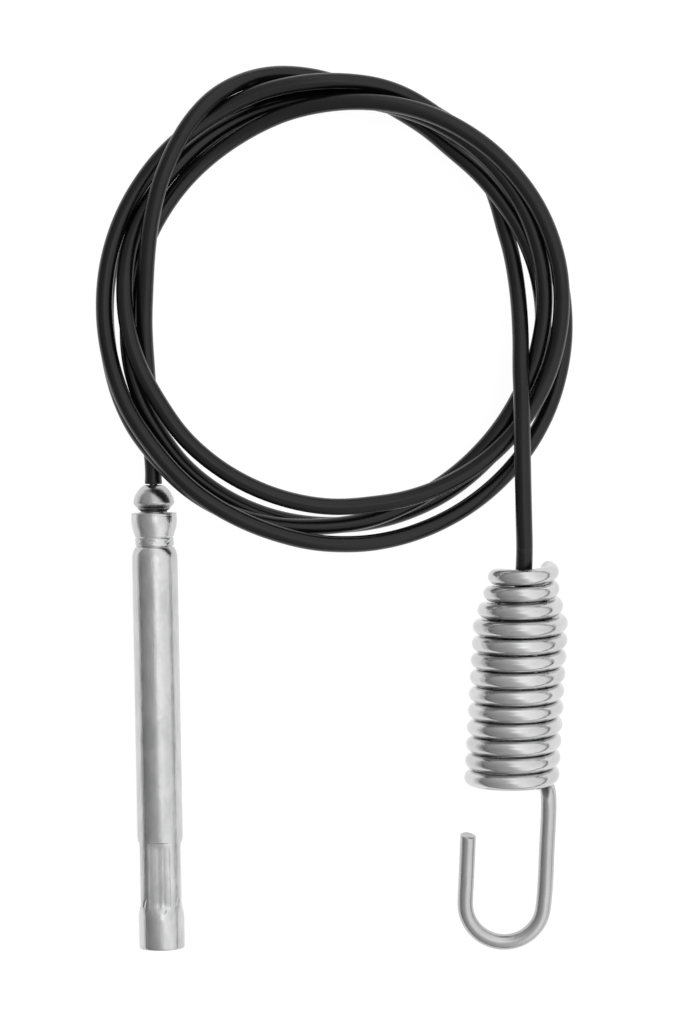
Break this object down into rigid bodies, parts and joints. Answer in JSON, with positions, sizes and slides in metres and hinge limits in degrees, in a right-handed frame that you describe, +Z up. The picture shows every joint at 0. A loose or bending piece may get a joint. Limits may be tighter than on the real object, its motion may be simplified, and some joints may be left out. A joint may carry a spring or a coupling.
{
  "type": "drive engagement cable",
  "caption": "Coiled vinyl-coated wire cable with a swivelling crimped sleeve on one end and a hooked extension spring on the other, for engaging a belt drive.",
  "frame": {"origin": "middle of the foot of the rigid fittings (sleeve, plug and spring), on the surface the cable lies on", "axes": "+Y from the hook and open sleeve end towards the cable coil, +X from the sleeve towards the spring, +Z up"},
  "size_m": [0.1328, 0.2442, 0.0299],
  "materials": {
    "cable_jacket": "semi-gloss black vinyl",
    "wire_rope": "bright galvanised strands",
    "plated_sleeve": "satin zinc plate with fine scratches",
    "plug_steel": "bright zinc plate",
    "insert_steel": "plain steel",
    "spring_steel": "bright zinc-plated spring wire",
    "stop_steel": "zinc plate"
  },
  "bodies": {
    "cable": {"cable_coil": "cable_jacket", "cable_lead_sleeve": "cable_jacket", "cable_lead_spring": "cable_jacket", "cable_rope_plug_end": "wire_rope", "cable_rope_stop_end": "wire_rope", "swivel_plug": "plug_steel", "end_stop": "stop_steel"},
    "sleeve": {"sleeve_tube": "plated_sleeve", "threaded_insert": "insert_steel"},
    "spring": {"extension_spring": "spring_steel"}
  },
  "joints": [
    {"name": "sleeve_swivel", "type": "hinge", "parent": "cable", "child": "sleeve", "pos_m": [-0.05412, 0.05675, 0.00635], "axis": [0.0181, -0.9998, 0], "continuous": true},
    {"name": "spring_swivel", "type": "hinge", "parent": "cable", "child": "spring", "pos_m": [0.04817, 0.0439, 0.0185], "axis": [-0.0521, -0.9948, -0.0872], "continuous": true}
  ]
}
